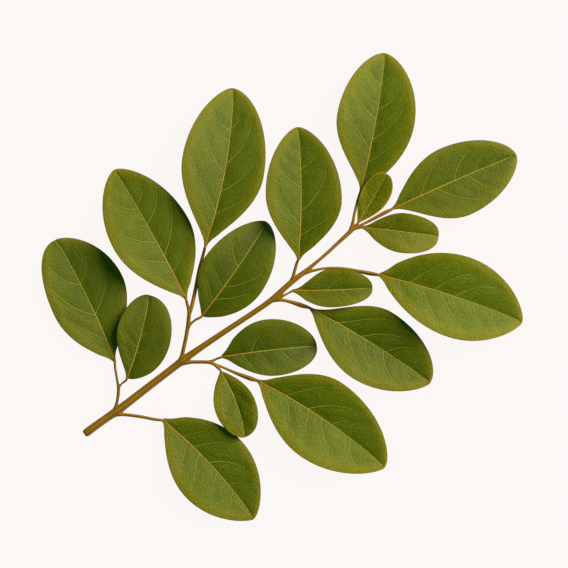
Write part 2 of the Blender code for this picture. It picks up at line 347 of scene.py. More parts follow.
# %% [markdown]
# ### Ribs
# The midrib of a leaflet starts in the brown of its stalk and fades to a yellow green at the
# tip. The side veins are thin and pale. One finish does for both, because every rib carries
# a number, `rib`, from 0 for the finest vein to 1 where the midrib leaves the stalk.

# %% Ribs
RIB_FINE = (0.300, 0.290, 0.025, 1)
RIB_TIP = (0.310, 0.280, 0.032, 1)
RIB_MIDDLE = (0.430, 0.300, 0.045, 1)
RIB_BASE = (0.460, 0.215, 0.020, 1)
RIB_GRAIN_SCALE = 2.4
RIB_ROUGH = (0.48, 0.6)
RIB_RELIEF_MM = 0.02

leaf_ribs, sketch, shader = new_finish("leaf ribs")
grain = sketch.noise(attribute(sketch, "leaf_mm", vector=True), RIB_GRAIN_SCALE, 2.0, 0.6)
shade = attribute(sketch, "rib") + (grain - 0.5) * 0.3
colour = sketch.mix(sketch.ramp(shade, 0.05, 0.3), RIB_FINE, RIB_TIP)
colour = sketch.mix(sketch.ramp(shade, 0.3, 0.75), colour, RIB_MIDDLE)
colour = sketch.mix(sketch.ramp(shade, 0.55, 0.95), colour, RIB_BASE)
rough = sketch.ramp(grain, 0.3, 0.7, *RIB_ROUGH)
paint(sketch, shader, colour, 0.7 + 0.6 * grain, rough, DULL_GLOSS)
bump(sketch, shader, grain, RIB_RELIEF_MM, 0.6)
tell(leaf_ribs.name, sketch)

# %% [markdown]
# ## The leaflets
# Every leaflet follows the same rule as its solid: an outline of its own on each side of the
# midrib, a shallow fold along the midrib, an arch from base to tip and a slow wave along the
# margins. A flat plan, on which x runs from base to tip and y from margin to margin, is laid
# on that surface by one formula. The midrib and the side veins are drawn on the same plan,
# so they follow every fold of the blade. Modelling seventeen blades by hand would take far
# longer and would show less of how a leaf is built.
#
# The side veins of each leaflet are where the photograph shows them. Each has a side, where
# it leaves the midrib and where it ends (0 at the base, 1 at the tip), how far it reaches to
# the margin, and how strong it is. A tint says how light a leaflet's green is and how much
# yellow there is in it: the youngest, smallest leaflets are the yellowest.

# %% How a leaflet is written down
Half = namedtuple("Half", "width widest foot tip fold")
Vein = namedtuple("Vein", "side start end reach strength")
Leaflet = namedtuple("Leaflet", "name base heading length bow left right heights tint veins")

LEFT, RIGHT = 1, -1
MIDDLE_X, MIDDLE_Y = 45.9, -1.4


def leaflet(name, base, heading, length, bow, left, right, heights, tint, veins):
    return Leaflet(name, base, heading, length, bow, Half(*left), Half(*right), heights,
                   tint, [Vein(*vein) for vein in veins])


print("a leaflet is written down as:", ", ".join(Leaflet._fields))

# %% Leaflets of the left side, from the cut end to the tip
LEAFLETS = [
    leaflet("leaflet_01", (12.0, 7.7), 79.0, 23.85, -0.5,
            (6.2, .48, .95, .45, 10), (7.95, .54, 1.25, .64, 5), (1.4, 0, .4), (.85, 0),
            [(LEFT, .35, .67, .80, 1), (LEFT, .61, .80, .62, 1), (LEFT, .15, .42, .76, .7),
             (RIGHT, .36, .63, .71, .8), (RIGHT, .62, .79, .52, .7)]),
    leaflet("leaflet_02", (11.9, 3.5), 38.1, 15.4, -0.4,
            (4.0, .56, 1.40, .60, 4), (5.9, .49, .52, .45, 8), (1.8, .6, 2.4), (.72, .3),
            [(LEFT, .20, .35, .60, .5), (LEFT, .37, .54, .75, .5), (RIGHT, .30, .48, .62, .4),
             (RIGHT, .52, .64, .50, .4)]),
    leaflet("leaflet_03", (29.0, 9.0), 82.1, 26.05, -0.3,
            (7.0, .52, 1.05, .69, 15), (7.4, .46, .98, .70, 5), (3.5, 1.6, .4), (.94, .1),
            [(LEFT, .42, .56, .60, 1), (LEFT, .265, .39, .66, .8), (LEFT, .68, .82, .62, .9),
             (LEFT, .55, .61, .25, .7), (RIGHT, .31, .61, .82, 1), (RIGHT, .56, .74, .78, 1),
             (RIGHT, .18, .31, .76, .6), (RIGHT, .71, .83, .62, .5)]),
    leaflet("leaflet_04", (37.7, 14.2), 43.1, 28.5, -1.1,
            (6.8, .52, 1.35, .70, 14), (8.2, .48, 1.18, .58, 14), (5.9, 1.8, .4), (.91, 0),
            [(LEFT, .46, .69, .59, 1), (LEFT, .21, .53, .80, .9), (LEFT, .73, .84, .70, .8),
             (LEFT, .66, .73, .32, .8), (RIGHT, .34, .57, .76, .9), (RIGHT, .52, .82, .66, .9),
             (RIGHT, .195, .33, .77, .8), (RIGHT, .75, .82, .30, .6)]),
    leaflet("leaflet_05", (29.5, 4.3), 18.3, 20.4, -0.3,
            (5.6, .43, 1.10, .69, 7), (6.35, .46, .74, .63, 10), (2.6, 1.1, 2.6), (.72, 0),
            [(LEFT, .53, .69, .64, .9), (LEFT, .15, .30, .66, .5), (LEFT, .30, .43, .68, .5),
             (RIGHT, .175, .40, .76, 1), (RIGHT, .31, .61, .74, .8)]),
    leaflet("leaflet_06", (49.6, 2.3), 53.2, 23.4, -0.5,
            (5.85, .49, 1.20, .69, 13), (7.85, .44, 1.00, .66, 13), (4.1, 1.4, 1.4), (.91, 0),
            [(LEFT, .24, .50, .67, .9), (LEFT, .53, .74, .75, .9), (LEFT, .67, .77, .54, .7),
             (LEFT, .80, .86, .45, .4), (RIGHT, .35, .66, .69, 1), (RIGHT, .165, .33, .84, .9),
             (RIGHT, .675, .79, .50, .7)]),
    leaflet("leaflet_07", (66.1, 5.4), 42.9, 24.7, -0.4,
            (6.6, .50, 1.40, .63, 15), (7.4, .52, .85, .64, 13), (3.6, 1.6, .4), (.99, 0),
            [(LEFT, .51, .69, .65, 1), (LEFT, .28, .61, .81, .9), (LEFT, .76, .89, .70, 1),
             (LEFT, .62, .73, .52, .6), (RIGHT, .585, .70, .43, .8), (RIGHT, .36, .63, .68, .8),
             (RIGHT, .19, .44, .85, .8)]),
    leaflet("leaflet_08", (62.0, .8), 22.0, 10.05, 0,
            (2.5, .62, 1.05, .50, 0), (2.65, .60, 1.15, .55, 14), (3.75, -.2, 5.6), (1.0, 1.0),
            [(LEFT, .30, .55, .60, .3), (RIGHT, .40, .62, .60, .3)]),
]
print(len(LEAFLETS), "leaflets on the left side")

# %% Leaflets of the tip and the right side, back to the cut end
LEAFLETS += [
    leaflet("leaflet_09", (68.8, -1.1), -13.4, 23.9, .2,
            (6.5, .49, 1.05, .61, 13), (6.55, .50, 1.45, .66, 13), (3.4, .6, .4), (.84, 0),
            [(LEFT, .49, .69, .70, 1), (LEFT, .21, .44, .75, .8), (LEFT, .66, .82, .56, .6),
             (RIGHT, .34, .67, .83, 1), (RIGHT, .60, .77, .72, .8), (RIGHT, .72, .81, .38, .7),
             (RIGHT, .21, .27, .48, .5), (RIGHT, .50, .64, .68, .5)]),
    leaflet("leaflet_10", (62.45, -.75), -43.8, 13.25, 0,
            (3.4, .52, 1.20, .42, 19), (3.8, .52, .92, .43, 14), (3.0, .8, 2.4), (.89, .7),
            [(LEFT, .29, .40, .50, .8), (RIGHT, .45, .60, .60, .8), (RIGHT, .31, .36, .20, .5)]),
    leaflet("leaflet_11", (59.6, -9.5), -55.2, 26.6, .5,
            (8.05, .52, .75, .71, 13), (6.75, .55, .88, .76, 15), (4.8, 1.7, .4), (1.05, 0),
            [(LEFT, .51, .77, .64, 1), (LEFT, .36, .59, .68, 1), (LEFT, .19, .39, .78, 1),
             (LEFT, .11, .21, .74, .5), (RIGHT, .275, .46, .75, 1), (RIGHT, .41, .63, .67, 1),
             (RIGHT, .64, .76, .51, 1), (RIGHT, .49, .62, .44, .7), (RIGHT, .77, .85, .52, .6),
             (RIGHT, .11, .20, .62, .6)]),
    leaflet("leaflet_12", (45.66, -2.25), -35.0, 13.75, -.2,
            (3.7, .48, 1.55, .53, 12), (3.3, .47, .80, .46, 13), (3.1, .5, 3.3), (.84, .2),
            [(LEFT, .40, .61, .57, .6), (LEFT, .27, .42, .54, .5), (RIGHT, .60, .76, .64, .7),
             (RIGHT, .48, .57, .37, .6), (RIGHT, .11, .21, .52, .7)]),
    leaflet("leaflet_13", (45.9, -6.7), -68.8, 25.1, .4,
            (7.1, .50, 1.62, .58, 13), (6.7, .51, 1.08, .75, 15), (2.4, .7, .4), (.92, 0),
            [(LEFT, .40, .72, .69, 1), (LEFT, .20, .49, .75, 1), (LEFT, .61, .76, .56, .8),
             (RIGHT, .29, .52, .71, 1), (RIGHT, .59, .80, .70, 1), (RIGHT, .44, .54, .36, .8),
             (RIGHT, .80, .86, .36, .6), (RIGHT, .73, .79, .45, .4)]),
    leaflet("leaflet_14", (28.3, -4.1), -30.4, 16.6, .2,
            (5.8, .48, .75, .58, 11), (4.5, .55, 1.00, .48, 10), (1.8, .9, 1.3), (.69, 0),
            [(LEFT, .28, .41, .57, .8), (RIGHT, .60, .74, .55, .8), (RIGHT, .18, .31, .86, .8),
             (RIGHT, .36, .52, .62, .5)]),
    leaflet("leaflet_15", (30.5, -11.5), -71.3, 27.3, .9,
            (8.2, .45, 1.13, .67, 13), (6.9, .50, 1.04, .78, 15), (2.2, 1.4, .4), (1.0, 0),
            [(LEFT, .36, .65, .71, 1), (LEFT, .19, .38, .71, .9), (LEFT, .55, .64, .38, .8),
             (LEFT, .62, .74, .66, .5), (RIGHT, .47, .67, .60, 1), (RIGHT, .70, .83, .60, .9),
             (RIGHT, .37, .49, .74, .8), (RIGHT, .21, .33, .60, .8)]),
    leaflet("leaflet_16", (26.0, -5.9), -106.6, 12.45, .6,
            (4.0, .55, .90, .46, 15), (3.45, .53, .98, .62, 11), (2.0, .6, 3.4), (.90, .1),
            [(LEFT, .76, .90, .40, .5), (LEFT, .35, .55, .60, .3), (RIGHT, .40, .60, .60, .3)]),
    leaflet("leaflet_17", (12.5, -7.0), -84.3, 23.7, .8,
            (7.85, .50, .73, .74, 9), (6.4, .52, 1.05, .80, 13), (1.3, .8, .4), (.92, 0),
            [(LEFT, .45, .68, .66, 1), (LEFT, .29, .44, .75, .9), (LEFT, .17, .27, .67, .6),
             (LEFT, .68, .76, .50, .4), (RIGHT, .35, .52, .67, 1), (RIGHT, .22, .34, .60, .9),
             (RIGHT, .55, .68, .54, .8), (RIGHT, .74, .83, .46, .8)]),
]
print(len(LEAFLETS), "leaflets with", sum(len(each.veins) for each in LEAFLETS), "side veins")

# %% [markdown]
# ### The surface of a blade
# These lines are the rule itself, drawn as nodes. The plan's x is `along`, its y is `across`
# and its z is `lift`, a height in millimetres above the blade's upper skin. The real blade is
# thinner than its solid, so it lies a little below the solid's upper face, inside the room
# that the solid holds.
#
# One thing goes beyond the solid. Where a real blade meets its stalk it narrows to a neck
# and runs out a little way along the stalk. So the rule pinches the first two millimetres
# and draws the foot back, by as much as the leaflet's `Neck` says.

# %% Inputs of the tree
SIZES = ["Length", "Bow", "Base height", "Arch", "Tip height", "Wave start", "Tone", "Yellow",
         "Seed", "Base x", "Base y", "Heading", "Neck"]
SIDE_SIZES = ["width", "widest", "foot", "tip", "fold"]
INPUTS = SIZES + [f"{side} {size}" for side in ("Left", "Right") for size in SIDE_SIZES]

sketch, size = new_tree("moringa leaflet", INPUTS)
along, across, lift = sketch.split(sketch.add("GeometryNodeInputPosition"))
on_left = sketch.add("FunctionNodeCompare", {0: across, 1: 0.0}, operation="GREATER_EQUAL")


def by_side(name):
    inputs = {"Switch": on_left, "False": size["Right " + name], "True": size["Left " + name]}
    return sketch.add("GeometryNodeSwitch", inputs, input_type="FLOAT")


half_width, widest, foot, tip, fold = [by_side(name) for name in SIDE_SIZES]
print(len(INPUTS), "inputs for each leaflet")

# %% Outline of a blade
STUB = 0.2
PINCH, PINCH_MM = 0.45, 2.0

below = 1 - along / widest
beyond = (along - widest) / (1 - widest)
foot_shape = sketch.math("MAXIMUM", 1 - below * below, 0.0) ** foot
tip_shape = sketch.math("MAXIMUM", 1 - beyond * beyond, 0.0) ** tip
in_foot = sketch.math("LESS_THAN", along, widest)
shape = in_foot * foot_shape + (1 - in_foot) * tip_shape
pinch = sketch.ramp(along * size["Length"], 0.0, PINCH_MM, 1.0, 0.0)
shape = shape * (1 - pinch * size["Neck"] * PINCH)
width = STUB + (half_width - STUB) * shape
offset = across * width
tell("leaflet with its outline", sketch)

# %% Height of a blade, and the surface
CURL = 0.05
RIPPLE, RIPPLES = 0.15, 1.6
SOLID_THICKNESS = 0.6
SINK = 0.2
TAIL, TAIL_MM = 0.7, 3.0

belly = 4 * along * (1 - along)
relative = offset / half_width
rise = sketch.math("TANGENT", sketch.math("RADIANS", fold)) * abs(offset)
rise = rise * (1 - CURL * relative * relative)
wave_angle = 2 * math.pi * (RIPPLES * along + size["Wave start"])
wave = RIPPLE * across * across * belly * sketch.math("SINE", wave_angle)
rib_height = size["Base height"] * (1 - along) + size["Tip height"] * along
height = rib_height + size["Arch"] * belly + rise + wave
height = sketch.math("MAXIMUM", height, SOLID_THICKNESS) - SINK
sideways = offset + size["Bow"] * belly * (1 - abs(across))
in_tail = sketch.math("MAXIMUM", 1 - along * size["Length"] / TAIL_MM, 0.0)
forward = size["Length"] * along - in_tail * in_tail * size["Neck"] * TAIL
surface = sketch.vector(forward * MM, sideways * MM, (height + lift) * MM)
tell("leaflet with its surface", sketch)

# %% [markdown]
# ### Midrib and side veins
# On a fresh leaflet the midrib is a low ridge in the valley of the fold, and stands out more
# on the underside. The side veins leave it at a slant, bend towards the tip and fade before
# the margin. Each is a thin tapering tube, sunk in the blade by part of its radius, so that
# only a rounded ridge shows. Drawing them as lines in the finish would be cheaper, but then
# they would vanish from the mesh.

# %% Tubes that lie on the blade
THICKNESS = 0.30
RIB_SIDES = 8

leaf_mm = sketch.vector(size["Length"] * along, abs(offset), size["Seed"])
step = sketch.add("GeometryNodeSplineParameter")
line = sketch.add("GeometryNodeCurvePrimitiveLine")


def plan_curve(steps):
    return sketch.add("GeometryNodeResampleCurve", {"Curve": line, "Count": steps})


def named(name):
    return sketch.add("GeometryNodeInputNamedAttribute", {"Name": name}, data_type="FLOAT")


def store(geometry, name, value, kind="FLOAT"):
    inputs = {"Geometry": geometry, "Name": name, "Value": value}
    return sketch.add("GeometryNodeStoreNamedAttribute", inputs, data_type=kind, domain="POINT")


def lay_tube(curve, plan_x, plan_y, radius, level, rib):
    """Draws a curve on the plan, lays it on the blade and sweeps it into a tube."""
    curve = store(curve, "thick", radius)
    curve = store(curve, "rib", rib)
    plan = sketch.vector(plan_x, plan_y, level)
    curve = sketch.add("GeometryNodeSetPosition", {"Geometry": curve, "Position": plan})
    curve = store(curve, "leaf_mm", leaf_mm, "FLOAT_VECTOR")
    curve = sketch.add("GeometryNodeSetPosition", {"Geometry": curve, "Position": surface})
    inputs = {"Resolution": RIB_SIDES, "Radius": 1.0}
    ring = sketch.add("GeometryNodeCurvePrimitiveCircle", inputs)
    inputs = {"Curve": curve, "Profile Curve": ring, "Scale": named("thick") * MM,
              "Fill Caps": True}
    tube = sketch.add("GeometryNodeCurveToMesh", inputs)
    tube = sketch.add("GeometryNodeSetShadeSmooth", {"Geometry": tube, "Shade Smooth": True})
    return curve, sketch.add("GeometryNodeSetMaterial", {"Geometry": tube, "Material": leaf_ribs})


tell("leaflet before its ribs", sketch)

# %% Midrib
MIDRIB_STEPS = 72
MIDRIB_REACH = 0.985
MIDRIB_TIP, MIDRIB_SWELL = 0.080, 0.065
MIDRIB_SUNK, UNDER_SWELL, UNDER_SUNK = -0.30, 1.15, 0.1

midrib_line = plan_curve(MIDRIB_STEPS)
midrib_thick = MIDRIB_TIP + MIDRIB_SWELL * (1 - step) ** 1.2
midrib_thick = midrib_thick * sketch.math("MINIMUM", 1.0, (1.0 - step) * 9 + 0.25)
midrib_rib = 0.25 + 0.75 * (1 - step) ** 1.6
_, midrib_top = lay_tube(midrib_line, step * MIDRIB_REACH, 0.0, midrib_thick,
                         midrib_thick * MIDRIB_SUNK, midrib_rib)
_, midrib_under = lay_tube(midrib_line, step * MIDRIB_REACH, 0.0, midrib_thick * UNDER_SWELL,
                           midrib_thick * UNDER_SUNK - THICKNESS, midrib_rib * 0.6)
tell("leaflet with its midrib", sketch)

# %% Side veins
VEIN_STEPS = 26
VEIN_BENDS = (0.34, 0.62)
VEIN_TIP, VEIN_SWELL = 0.034, 0.050
VEIN_SUNK, VEIN_UNDER_SWELL, VEIN_UNDER_SUNK = -0.35, 1.4, 0.3
WIGGLE_ALONG, WIGGLE_ACROSS = 0.06, 0.10

seeds = size["Geometry"]
vein_lines = sketch.add("GeometryNodeInstanceOnPoints",
                        {"Points": seeds, "Instance": plan_curve(VEIN_STEPS)})
vein_lines = sketch.add("GeometryNodeRealizeInstances", {"Geometry": vein_lines})
bend_along, bend_across = [2 * (1 - step) * step * bend + step * step for bend in VEIN_BENDS]
wiggle_place = sketch.vector(step * 3.0, named("start") * 40, named("reach") * 30)
wiggle = (sketch.noise(wiggle_place, 1.0) - 0.5) * step * (1 - step)
vein_x = named("start") + (named("end") - named("start")) * bend_along + wiggle * WIGGLE_ALONG
vein_y = named("side") * (named("reach") * bend_across + wiggle * WIGGLE_ACROSS)
vein_thick = named("strength") * (VEIN_TIP + VEIN_SWELL * (1 - step) ** 0.8)
vein_curve, veins_top = lay_tube(vein_lines, vein_x, vein_y, vein_thick,
                                 vein_thick * VEIN_SUNK, named("strength") * 0.06 * (1 - step))
_, veins_under = lay_tube(vein_lines, vein_x, vein_y, vein_thick * VEIN_UNDER_SWELL,
                          vein_thick * VEIN_UNDER_SUNK - THICKNESS,
                          named("strength") * 0.10 * (1 - step))
tell("leaflet with its side veins", sketch)

# %% [markdown]
# ### The blade
# Two grids of the same plan are the two skins of the blade. They meet at the margin, where a
# blade thins out, and are merged there into one closed sheet. The crease of the fold and the
# margin are marked sharp. Each point of the sheet keeps what the finish needs to know of it.

# %% Two skins
STEPS_ALONG, STEPS_ACROSS = 121, 53
SIDE_ROUND, END_ROUND = 12.0, 24.0
SEAM_DEPTH = 0.35


def skin(is_top):
    grid = sketch.add("GeometryNodeMeshGrid", {"Size X": 1.0, "Size Y": 1.0,
                      "Vertices X": STEPS_ALONG, "Vertices Y": STEPS_ACROSS})
    grid_x, grid_y, _ = sketch.split(sketch.add("GeometryNodeInputPosition"))
    plan_x = (1 - sketch.math("COSINE", (grid_x + 0.5) * math.pi)) * 0.5
    plan_y = sketch.math("SINE", grid_y * math.pi)
    out_y = sketch.math("POWER", abs(plan_y), SIDE_ROUND)
    out_x = sketch.math("POWER", abs(plan_x * 2 - 1), END_ROUND)
    full = sketch.math("MAXIMUM", (1 - out_y) * (1 - out_x), 0.0) ** 0.5
    level = (full - 1) * (SEAM_DEPTH * THICKNESS)
    if not is_top:
        level = level - full * THICKNESS
        grid = sketch.add("GeometryNodeFlipFaces", {"Mesh": grid})
    plan = sketch.vector(plan_x, plan_y, level)
    grid = sketch.add("GeometryNodeSetPosition", {"Geometry": grid, "Position": plan})
    finish = leaf_top if is_top else leaf_under
    return sketch.add("GeometryNodeSetMaterial", {"Geometry": grid, "Material": finish})


print(STEPS_ALONG * STEPS_ACROSS, "points in each skin")

# %% One closed sheet
MERGE_WITHIN = 1e-6
CREASE_WITHIN, MARGIN_FROM = 1e-4, 1 - 1e-5

blade = sketch.add("GeometryNodeJoinGeometry", {"Geometry": [skin(True), skin(False)]})
blade = sketch.add("GeometryNodeMergeByDistance", {"Geometry": blade, "Distance": MERGE_WITHIN})
blade = sketch.add("GeometryNodeSetShadeSmooth", {"Geometry": blade, "Shade Smooth": True})
on_crease = sketch.math("LESS_THAN", abs(across), CREASE_WITHIN)
on_margin = sketch.math("GREATER_THAN", abs(across), MARGIN_FROM)
inputs = {"Geometry": blade, "Selection": on_crease + on_margin, "Shade Smooth": False}
blade = sketch.add("GeometryNodeSetShadeSmooth", inputs, domain="EDGE")
blade = store(blade, "along", along)
blade = store(blade, "across", across)
blade = store(blade, "edge_mm", (1 - abs(across)) * width)
blade = store(blade, "leaf_mm", leaf_mm, "FLOAT_VECTOR")
blade = store(blade, "tone", size["Tone"])
blade = store(blade, "yellow", size["Yellow"])
blade = sketch.add("GeometryNodeSetPosition", {"Geometry": blade, "Position": surface})
tell("leaflet with its blade", sketch)

# %% [markdown]
# The blade swells a little between its veins and has a slight unevenness, as living tissue
# has. Both fade out at the midrib, and the swelling at the margin too. How far the nearest
# side vein is has to be measured on the finished surface, so this comes after it.

# %% Swelling between the veins
QUILT, FROM_VEIN_MM, FROM_EDGE_MM = 0.09, 1.3, 1.2
UNEVEN, UNEVEN_SCALE = 0.12, 0.35

vein_wires = sketch.add("GeometryNodeCurveToMesh", {"Curve": vein_curve})
gap = sketch.add("GeometryNodeProximity", {"Geometry": vein_wires}, output="Distance",
                 target_element="EDGES")
blade = store(blade, "vein_gap", gap * (1 / MM))
from_rib = abs(named("across"))
swell = sketch.ramp(named("vein_gap"), 0.0, FROM_VEIN_MM)
swell = swell * sketch.ramp(named("edge_mm"), 0.0, FROM_EDGE_MM)
swell = swell * sketch.ramp(from_rib, 0.0, 0.2)
stored_mm = sketch.add("GeometryNodeInputNamedAttribute", {"Name": "leaf_mm"},
                       data_type="FLOAT_VECTOR")
uneven = (sketch.noise(stored_mm, UNEVEN_SCALE, 2.0) - 0.5) * sketch.ramp(from_rib, 0.0, 0.3)
shift = sketch.vector(0.0, 0.0, (swell * QUILT + uneven * UNEVEN) * MM)
blade = sketch.add("GeometryNodeSetPosition", {"Geometry": blade, "Offset": shift})
tell("leaflet with its swelling", sketch)

# %% The whole leaflet, turned and set in its place
parts = [blade, midrib_top, midrib_under, veins_top, veins_under]
whole = sketch.add("GeometryNodeJoinGeometry", {"Geometry": parts})
turn = sketch.vector(0.0, 0.0, size["Heading"])
spot = sketch.vector(size["Base x"] * MM, size["Base y"] * MM, 0.0)
whole = sketch.add("GeometryNodeTransform",
                   {"Geometry": whole, "Translation": spot, "Rotation": turn})
end_tree(sketch, whole)
leaflet_tree = sketch.tree

# %% [markdown]
# ### Growing the leaflets
# Each leaflet starts as a few loose points, one for each side vein, that carry the vein's
# values. The tree grows the whole leaflet from them. What it makes is kept as a plain mesh,
# which stands for the solid leaflet of the same name. Four leaflets have blunt feet in the
# photograph, so their necks are hardly pinched.

# %% Grow the leaflets
WAVE_STEP, SEED_STEP = 0.37, 7.3
BLUNT_FEET = ("leaflet_02", "leaflet_05", "leaflet_08", "leaflet_16")
BLUNT_NECK, FULL_NECK = 0.2, 1.0


def vein_seeds(name, veins):
    mesh = bpy.data.meshes.new(name + " veins")
    mesh.from_pydata([(0, 0, 0)] * len(veins), [], [])
    for field in Vein._fields:
        values = mesh.attributes.new(field, "FLOAT", "POINT")
        values.data.foreach_set("value", [float(getattr(vein, field)) for vein in veins])
    seeds_object = bpy.data.objects.new(name + " veins", mesh)
    bpy.context.scene.collection.objects.link(seeds_object)
    return seeds_object


def leaflet_sizes(index, each):
    base_height, arch, tip_height = each.heights
    tone, yellow = each.tint
    sizes = {"Length": each.length, "Bow": each.bow, "Base height": base_height,
             "Arch": arch, "Tip height": tip_height, "Wave start": index * WAVE_STEP,
             "Tone": tone, "Yellow": yellow, "Seed": index * SEED_STEP,
             "Heading": math.radians(each.heading),
             "Neck": BLUNT_NECK if each.name in BLUNT_FEET else FULL_NECK,
             "Base x": each.base[0] - MIDDLE_X, "Base y": each.base[1] - MIDDLE_Y}
    for side, half in (("Left", each.left), ("Right", each.right)):
        for label in SIDE_SIZES:
            sizes[f"{side} {label}"] = getattr(half, label)
    return {label: float(value) for label, value in sizes.items()}


for index, each in enumerate(LEAFLETS):
    seeds_object = vein_seeds(each.name, each.veins)
    run_tree(seeds_object, leaflet_tree, leaflet_sizes(index, each))
    piece = freeze(seeds_object, each.name + "_blade")
    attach(piece, "root")
    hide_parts(each.name)
    triangles = sum(len(face.vertices) - 2 for face in piece.data.polygons)
    print(each.name, "triangles:", triangles)

# %% [markdown]
# ## The rachis and its stalks
# The rachis, its forks and the stalk of every leaflet grew as one piece. Each run is a path
# of points, `(x, y, height, radius)` in millimetres, and is thicker where it leaves the one
# before it. The points are set on what the photograph shows, because no rule says how a
# stalk bends to find the light.

# %% Paths of the rachis and its forks
RACHIS = [(-.40, 0, .62, .50), (-.28, 0, .62, .66), (.1, 0, .62, .76), (1.2, 0, .62, .74),
          (3.4, -.03, .62, .71), (5.4, -.12, .62, .72), (6.8, -.2, .64, .83), (8.4, -.22, .64, .73),
          (13.1, -.13, .70, .69), (18.8, -.1, .92, .65), (20.6, -.06, 1.02, .69),
          (21.8, -.04, 1.10, .77), (23.4, -.07, 1.20, .62), (27.0, -.23, 1.46, .54),
          (30.8, -.44, 1.75, .51), (37.7, -.88, 2.25, .49), (40.8, -1.0, 2.48, .52),
          (42.4, -.93, 2.58, .58), (44.3, -.67, 2.70, .51), (46.2, -.55, 2.80, .51),
          (48.1, -.52, 2.87, .47), (49.6, -.53, 2.91, .39), (52.0, -.40, 3.00, .29),
          (54.3, -.25, 3.08, .31), (56.6, 0, 3.14, .33), (58.6, .20, 3.18, .38),
          (60.2, .36, 3.22, .42), (60.9, .50, 3.25, .40)]
FORKS = [
    [(6.0, -.05, .78, .50), (6.9, .4, .86, .34), (7.7, 1.02, .98, .27), (8.4, 1.66, 1.10, .28),
     (9.05, 2.34, 1.20, .31), (9.7, 3.1, 1.30, .30)],
    [(20.9, 0, 1.10, .50), (21.6, .35, 1.20, .43), (22.2, .75, 1.28, .37), (23.2, 1.6, 1.47, .35),
     (24.4, 2.62, 1.64, .36), (25.7, 3.8, 1.87, .37), (26.9, 5.05, 2.10, .36),
     (27.7, 5.9, 2.28, .39), (28.3, 6.6, 2.40, .36)],
    [(20.9, -.2, 1.05, .45), (21.6, -.55, 1.08, .42), (22.7, -1.12, 1.14, .33),
     (23.85, -1.98, 1.21, .32), (25.0, -2.84, 1.28, .33), (25.7, -3.5, 1.30, .31)],
]
print("rachis:", round(RACHIS[-1][0] - RACHIS[0][0], 1), "mm long, with", len(FORKS), "forks")

# %% Paths of the leaflets' stalks
STALKS = [
    [(9.3, 2.7, 1.28, .28), (9.75, 3.3, 1.30, .26), (10.0, 3.9, 1.29, .24),
     (10.6, 5.0, 1.25, .23), (11.25, 6.3, 1.20, .23)],
    [(9.4, 2.8, 1.28, .26), (9.9, 3.1, 1.36, .18), (10.5, 3.25, 1.45, .17)],
    [(27.8, 6.1, 2.35, .30), (28.2, 6.8, 2.55, .28), (28.55, 7.65, 2.82, .27)],
    [(27.8, 5.9, 2.30, .30), (28.5, 6.4, 2.34, .36), (29.4, 7.15, 2.28, .36),
     (30.8, 8.35, 2.25, .35), (32.35, 9.75, 2.28, .35), (33.7, 11.0, 2.65, .34),
     (34.9, 11.95, 3.30, .33), (36.4, 13.1, 4.45, .29)],
    [(25.6, 3.7, 1.90, .30), (26.15, 4.05, 2.00, .27), (26.7, 4.33, 2.05, .23),
     (27.5, 4.41, 2.12, .22), (28.4, 4.38, 2.22, .23)],
    [(45.4, -.6, 2.76, .42), (46.3, -.3, 2.84, .37), (47.0, .28, 3.00, .31),
     (47.9, .97, 3.28, .29), (48.7, 1.6, 3.52, .28)],
    [(59.9, .4, 3.20, .40), (60.7, .95, 3.28, .34), (61.4, 1.58, 3.34, .29),
     (62.2, 2.33, 3.34, .26), (63.2, 3.17, 3.34, .27), (64.3, 4.05, 3.32, .27)],
    [(60.2, .4, 3.25, .34), (60.8, .6, 3.30, .24)],
    [(59.9, .4, 3.20, .38), (61.1, .3, 3.25, .29), (62.3, .04, 3.25, .25),
     (63.5, -.19, 3.25, .27), (65.2, -.45, 3.25, .32), (66.9, -.7, 3.25, .39)],
    [(60.3, .45, 3.22, .36), (61.2, .12, 3.05, .28)],
    [(48.2, -.55, 2.88, .42), (49.5, -.9, 2.82, .32), (50.3, -1.3, 2.77, .27),
     (51.2, -1.7, 2.73, .25), (52.2, -2.2, 2.70, .24), (53.6, -3.17, 2.70, .25),
     (54.9, -4.28, 2.84, .27), (56.0, -5.5, 3.08, .30), (57.0, -6.62, 3.38, .34),
     (58.2, -7.95, 3.90, .41)],
    [(41.6, -1.15, 2.54, .42), (42.6, -1.55, 2.58, .27), (43.6, -1.72, 2.66, .19),
     (44.4, -1.85, 2.75, .18)],
    [(41.2, -1.1, 2.50, .45), (42.0, -1.62, 2.44, .37), (42.7, -2.2, 2.36, .31),
     (43.4, -3.03, 2.28, .31), (44.1, -3.98, 2.24, .38), (44.85, -5.1, 2.24, .45)],
    [(25.0, -2.85, 1.29, .28), (25.9, -3.33, 1.31, .23), (26.8, -3.48, 1.34, .21)],
    [(25.3, -3.15, 1.30, .30), (25.95, -4.0, 1.32, .23), (26.63, -5.1, 1.37, .22),
     (27.33, -6.4, 1.43, .25), (28.0, -7.6, 1.50, .30), (28.9, -9.05, 1.64, .38),
     (29.75, -10.35, 1.82, .43)],
    [(25.4, -3.2, 1.30, .30), (25.9, -3.95, 1.36, .28), (26.0, -4.85, 1.52, .28)],
    [(5.5, -.15, .72, .50), (6.6, -.78, .74, .38), (7.5, -1.53, .80, .30), (9.0, -2.95, .87, .30),
     (10.2, -4.23, .92, .29), (11.4, -5.62, .98, .27)],
]
print(len(STALKS), "stalks for", len(LEAFLETS), "leaflets")

# %% [markdown]
# ### Into the leaflets
# On the real leaf the stalk simply becomes the midrib. So each stalk gets three more points:
# one in line with its leaflet, and two that follow the midrib from inside, growing thinner,
# so that no seam shows.

# %% Into the leaflets
RIB_SINK = SINK + 0.07
STALK_ENDS = ((-0.5, .24, 0.0), (0.3, .20, .02), (1.4, .12, .06))


